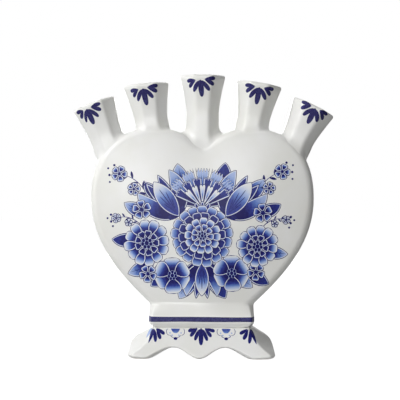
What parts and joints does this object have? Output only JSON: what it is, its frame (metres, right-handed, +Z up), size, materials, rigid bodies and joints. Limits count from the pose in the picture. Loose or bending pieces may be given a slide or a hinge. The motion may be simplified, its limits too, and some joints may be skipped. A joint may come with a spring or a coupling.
{
  "type": "tulip vase",
  "caption": "Flat heart-shaped ceramic vase with a fan of octagonal flower spouts on a moulded plinth and scalloped bracket foot.",
  "frame": {"origin": "on the ground under the middle of the foot", "axes": "+Z up, +X to the right seen from the front, front of the vase towards -Y"},
  "size_m": [0.2045, 0.056, 0.2206],
  "materials": {
    "decorated_glaze": "white tin glaze, glossy, with cobalt blue painting under the surface",
    "white_glaze": "white tin glaze, glossy, with small cobalt blue brush-stroke ornaments",
    "inner_glaze": "thin white glaze over fired clay"
  },
  "bodies": {
    "root": {"heart_front": "decorated_glaze", "heart_back": "decorated_glaze", "spout_far_left": "white_glaze", "spout_left": "white_glaze", "spout_centre": "white_glaze", "spout_right": "white_glaze", "spout_far_right": "white_glaze", "plinth": "white_glaze", "reservoir_floor": "inner_glaze", "foot": "white_glaze"}
  },
  "joints": []
}
